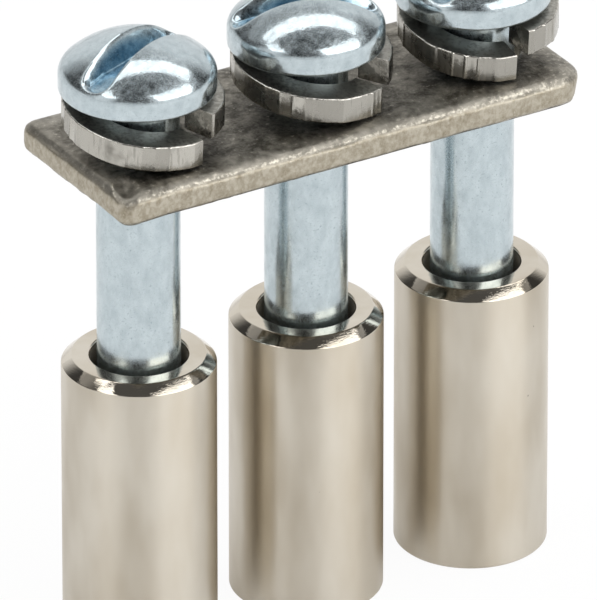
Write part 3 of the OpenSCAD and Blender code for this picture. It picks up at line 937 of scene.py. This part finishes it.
class JUMPER_OT_sleeves(bpy.types.Operator):
    """Builds the three nickel-plated spacer sleeves"""
    bl_idname = "jumper.sleeves"
    bl_label = "Spacer Sleeves"

    def execute(self, context):
        s = context.scene.jumper_sleeve
        finishes = [
            nickel_plating("Satin nickel on the barrel", s, roughness=0.34, drawn=0.85,
                           rings=0.001, feed_step=0.12),
            nickel_plating("Turned nickel on the mouth", s, roughness=0.05, drawn=0.0,
                           rings=0.003, feed_step=0.05),
        ]
        outer, bore, top = s.outer_d / 2 / MM, s.bore_d / 2 / MM, s.length / MM
        sink, foot = s.bore_break / MM, s.foot_break / MM
        mouth = top - s.chamfer_h / MM
        corners = [
            (bore, 0), (outer - foot, 0), (outer, foot), (outer, mouth),
            (outer - s.chamfer_w / MM, top), (bore + sink, top), (bore, top - sink)]
        section = rounded(corners, [0.05, 0.04, 0.04, 0.035, 0.05, 0.04, 0.05])
        steps = 192
        turns = np.linspace(0, 2 * math.pi, steps, endpoint=False)
        faces = []
        kinds = []
        for k in range(len(section)):
            n = (k + 1) % len(section)
            turned = min(section[k][1], section[n][1]) > mouth - 0.02
            for j in range(steps):
                i = (j + 1) % steps
                faces.append((k * steps + j, k * steps + i, n * steps + i, n * steps + j))
                kinds.append(1 if turned else 0)
        for pole in POLES:
            points = [(r * math.cos(t) + POLE_X[pole], r * math.sin(t), z)
                      for r, z in section for t in turns]
            item = mesh_piece(f"spacer_sleeve_{pole}", points, faces, finishes, kinds, sharp=25)
            self.mark_feed(item.data, pole)
            stand_for(item, f"sleeve_{pole}", f"sleeve_{pole}")
        return {"FINISHED"}

    def mark_feed(self, mesh, pole):
        """Notes how far each point is on the tool's path, out over the mouth and down the wall."""
        places = [v.co / MM for v in mesh.vertices]
        mark(mesh, "tool_feed", [math.hypot(p.x - POLE_X[pole], p.y) - p.z for p in places])


class JUMPER_OT_stage(bpy.types.Operator):
    """Sets up the floor, the soft boxes, the white surroundings and the camera"""
    bl_idname = "jumper.stage"
    bl_label = "Stage"

    def execute(self, context):
        scene = context.scene
        s = scene.jumper_stage
        scene.view_settings.view_transform = "Standard"
        self.right = Vector((math.cos(VIEW_AZIMUTH), math.sin(VIEW_AZIMUTH), 0))
        self.near = Vector((math.sin(VIEW_AZIMUTH), -math.cos(VIEW_AZIMUTH), 0))
        self.camera(scene, s)
        self.surroundings(scene, s)
        self.floor(scene, s)
        self.lamps(scene, s)
        self.cards(scene)
        return {"FINISHED"}

    def camera(self, scene, s):
        """A long lens in the direction of the photograph."""
        back = self.near * math.cos(VIEW_ELEVATION) + Vector((0, 0, math.sin(VIEW_ELEVATION)))
        up = back.cross(self.right)
        lens = bpy.data.cameras.new("Camera")
        lens.lens = s.lens
        lens.clip_end = 10
        aim = Vector((0, 0, s.aim_height)) + self.right * s.aim_right + up * s.aim_up
        item = bpy.data.objects.new("Camera", lens)
        item.location = aim + back * (s.view_height * s.lens / lens.sensor_width)
        item.rotation_euler = back.to_track_quat("Z", "Y").to_euler()
        scene.collection.objects.link(item)
        scene.camera = item

    def surroundings(self, scene, s):
        """White for the camera, metal and glass, and a fill light for matt surfaces."""
        world = bpy.data.worlds.new("White surroundings")
        tree = empty_tree(world)
        path = add(tree, "ShaderNodeLightPath").outputs
        direct = add(tree, "ShaderNodeMath", {
            0: path["Is Camera Ray"], 1: path["Is Glossy Ray"]}, operation="MAXIMUM")
        seen = add(tree, "ShaderNodeMath", {
            0: direct, 1: path["Is Transmission Ray"]}, operation="MAXIMUM")
        level = add(tree, "ShaderNodeMapRange", {"Value": seen, "To Min": s.fill, "To Max": 1.0})
        light = add(tree, "ShaderNodeBackground", {"Color": (1, 1, 1, 1), "Strength": level})
        add(tree, "ShaderNodeOutputWorld", {"Surface": light})
        scene.world = world

    def card(self, scene, name, points, faces, material):
        """A flat piece of the stage."""
        mesh = bpy.data.meshes.new(name)
        mesh.from_pydata(points, [], faces)
        mesh.materials.append(material)
        item = bpy.data.objects.new(name, mesh)
        scene.collection.objects.link(item)
        return item

    def floor(self, scene, s):
        """White paper that keeps the object's shadow."""
        material = bpy.data.materials.new("White paper floor")
        tree = empty_tree(material)
        path = add(tree, "ShaderNodeLightPath").outputs
        mirrored = add(tree, "ShaderNodeMath", {
            0: path["Is Glossy Ray"], 1: 0.35}, operation="MULTIPLY")
        share = add(tree, "ShaderNodeMath", {
            0: path["Is Camera Ray"], 1: s.floor_white, 2: mirrored}, operation="MULTIPLY_ADD")
        paper = add(tree, "ShaderNodeBsdfDiffuse", {"Color": (0.9, 0.9, 0.9, 1)})
        white = add(tree, "ShaderNodeEmission", {"Color": (1, 1, 1, 1), "Strength": 1.0})
        mixed = add(tree, "ShaderNodeMixShader", {0: share, 1: paper, 2: white})
        add(tree, "ShaderNodeOutputMaterial", {"Surface": mixed})
        reach = 1.5
        corners = [(-reach, -reach, 0), (reach, -reach, 0), (reach, reach, 0), (-reach, reach, 0)]
        self.card(scene, "floor", corners, [(0, 1, 2, 3)], material)

    def direction(self, side, front):
        """Direction so many degrees to the right of and in front of the point overhead."""
        lean = math.radians(math.hypot(side, front))
        flat = (self.right * side + self.near * front).normalized()
        return Vector((0, 0, math.cos(lean))) + flat * math.sin(lean)

    def lamps(self, scene, s):
        """Soft boxes as (side, front, length, width, turn), all in degrees as the part sees them."""
        boxes = {
            "overhead strip": (2, -12, 82, 18, -15),
            "front right box": (46.3, 27, 54, 47, -38.7),
            "front left box": (-37, 27, 36, 17, 112),
        }
        for name, (side, front, length, width, turn) in boxes.items():
            out = self.direction(side, front)
            turn = math.radians(turn)
            axis = self.right * math.cos(turn) + self.near * math.sin(turn)
            axis = (axis - out * axis.dot(out)).normalized()
            lamp = bpy.data.lights.new(name, "AREA")
            lamp.shape = "RECTANGLE"
            lamp.size = 2 * LAMP_DISTANCE * math.tan(math.radians(length / 2))
            lamp.size_y = 2 * LAMP_DISTANCE * math.tan(math.radians(width / 2))
            lamp.energy = s.softbox * math.pi * lamp.size * lamp.size_y
            item = bpy.data.objects.new(name, lamp)
            turned = Matrix((axis, out.cross(axis), out)).transposed().to_4x4()
            place = Vector((0, 0, s.aim_height)) + out * LAMP_DISTANCE
            item.matrix_world = Matrix.Translation(place) @ turned
            item.visible_camera = False
            scene.collection.objects.link(item)

    def cards(self, scene):
        """Grey cards that only metal sees: a canopy over the soft boxes and dark walls round them."""
        steps = 48
        ring = [2 * math.pi * k / steps for k in range(steps)]
        middle = Vector((0, 0, CANOPY_HEIGHT))
        sides = [self.right * CANOPY_SIDE * math.cos(t) for t in ring]
        fronts = [self.near * CANOPY_FRONT * math.sin(t) for t in ring]
        canopy = [middle + side + front for side, front in zip(sides, fronts)]
        self.grey_card(scene, "canopy", canopy, [tuple(range(steps))], self.canopy_level)
        foot = Vector((0, 0, WALL_FOOT))
        head = Vector((0, 0, CANOPY_HEIGHT - 0.001))
        strips = [(2 * k, 2 * k + 2, 2 * k + 3, 2 * k + 1) for k in range(steps - 1)]
        # Walls just under the canopy, from and to so many degrees to the right of the camera
        walls = {"front wall": (-40, 30), "right wall": (80, 140), "left wall": (-144, -60)}
        for name, (first, last) in walls.items():
            points = []
            for t in np.radians(np.linspace(first, last, steps)):
                out = self.near * math.cos(t) + self.right * math.sin(t)
                out *= 1 / math.hypot(math.sin(t) / CANOPY_SIDE, math.cos(t) / CANOPY_FRONT)
                points += [out + foot, out + head]
            self.grey_card(scene, name, points, strips, self.wall_level, first, last)

    def grey_card(self, scene, name, points, faces, level, *span):
        """A card that only metal sees. level works out its brightness."""
        material = bpy.data.materials.new(f"Grey {name}")
        tree = empty_tree(material)
        glow = add(tree, "ShaderNodeEmission", {"Color": (1, 1, 1, 1), "Strength": level(tree, *span)})
        add(tree, "ShaderNodeOutputMaterial", {"Surface": glow})
        item = self.card(scene, name, points, faces, material)
        item.visible_camera = False
        item.visible_diffuse = False
        item.visible_shadow = False

    def wall_level(self, tree, first, last):
        """Brightness of a wall: dark in the middle, paler towards its sides and its foot."""
        middle = math.radians((first + last) / 2)
        span = math.radians((last - first) / 2)
        ahead = self.near * math.cos(middle) + self.right * math.sin(middle)
        place = add(tree, "ShaderNodeTexCoord").outputs["Object"]
        level = add(tree, "ShaderNodeVectorMath", {0: place, 1: (1, 1, 0)}, operation="MULTIPLY")
        out = add(tree, "ShaderNodeVectorMath", {0: level}, operation="NORMALIZE")
        facing = add(tree, "ShaderNodeVectorMath", {0: out, 1: ahead}, operation="DOT_PRODUCT")
        side = add(tree, "ShaderNodeMapRange", {
            "Value": facing, "From Min": math.cos(span * 0.4), "From Max": math.cos(span),
            "To Min": 0.06, "To Max": 0.85}, interpolation_type="SMOOTHSTEP")
        height = add(tree, "ShaderNodeSeparateXYZ", {0: place}).outputs["Z"]
        foot = add(tree, "ShaderNodeMapRange", {
            "Value": height, "From Min": 0.2, "From Max": WALL_FOOT, "To Max": 0.8},
            interpolation_type="SMOOTHSTEP")
        return add(tree, "ShaderNodeMath", {0: side, 1: foot}, operation="MAXIMUM")

    def canopy_level(self, tree):
        """Brightness of the canopy: dark in front, grey overhead and pale towards its back rim."""
        place = add(tree, "ShaderNodeTexCoord").outputs["Object"]
        towards = add(tree, "ShaderNodeVectorMath", {
            0: place, 1: self.near / CANOPY_FRONT}, operation="DOT_PRODUCT")
        overhead = add(tree, "ShaderNodeMapRange", {
            "Value": towards, "From Min": -0.4, "From Max": 0.3, "To Min": 0.38, "To Max": 0.1},
            interpolation_type="SMOOTHSTEP")
        behind = add(tree, "ShaderNodeMapRange", {
            "Value": towards, "From Min": -0.45, "From Max": -1.0, "To Max": 0.4},
            interpolation_type="SMOOTHSTEP")
        return add(tree, "ShaderNodeMath", {0: behind, 1: overhead}, operation="ADD")


class JUMPER_PT_panel(bpy.types.Panel):
    """Lists the jumper's pieces and their settings"""
    bl_idname = "JUMPER_PT_panel"
    bl_label = "Terminal Jumper"
    bl_space_type = "VIEW_3D"
    bl_region_type = "UI"
    bl_category = "Jumper"

    def draw(self, context):
        for name, (group, operator) in STEPS.items():
            box = self.layout.box()
            box.operator(operator.bl_idname)
            for key in group.__annotations__:
                box.prop(getattr(context.scene, name), key)


# Settings and operator of each step, under the settings' name in the scene
STEPS = {
    "jumper_stage": (JumperStageSettings, JUMPER_OT_stage),
    "jumper_bar": (JumperBarSettings, JUMPER_OT_bar),
    "jumper_screw": (JumperScrewSettings, JUMPER_OT_screws),
    "jumper_washer": (JumperWasherSettings, JUMPER_OT_washers),
    "jumper_sleeve": (JumperSleeveSettings, JUMPER_OT_sleeves),
}
CLASSES = (*(item for pair in STEPS.values() for item in pair), JUMPER_PT_panel)


def register():
    for item in CLASSES:
        bpy.utils.register_class(item)
    for name, pair in STEPS.items():
        setattr(bpy.types.Scene, name, PointerProperty(type=pair[0]))


def unregister():
    for name in STEPS:
        delattr(bpy.types.Scene, name)
    for item in reversed(CLASSES):
        bpy.utils.unregister_class(item)


def main():
    register()
    bpy.ops.jumper.stage()
    bpy.ops.jumper.bar()
    bpy.ops.jumper.screws()
    bpy.ops.jumper.washers()
    bpy.ops.jumper.sleeves()


if __name__ == "__main__":
    main()
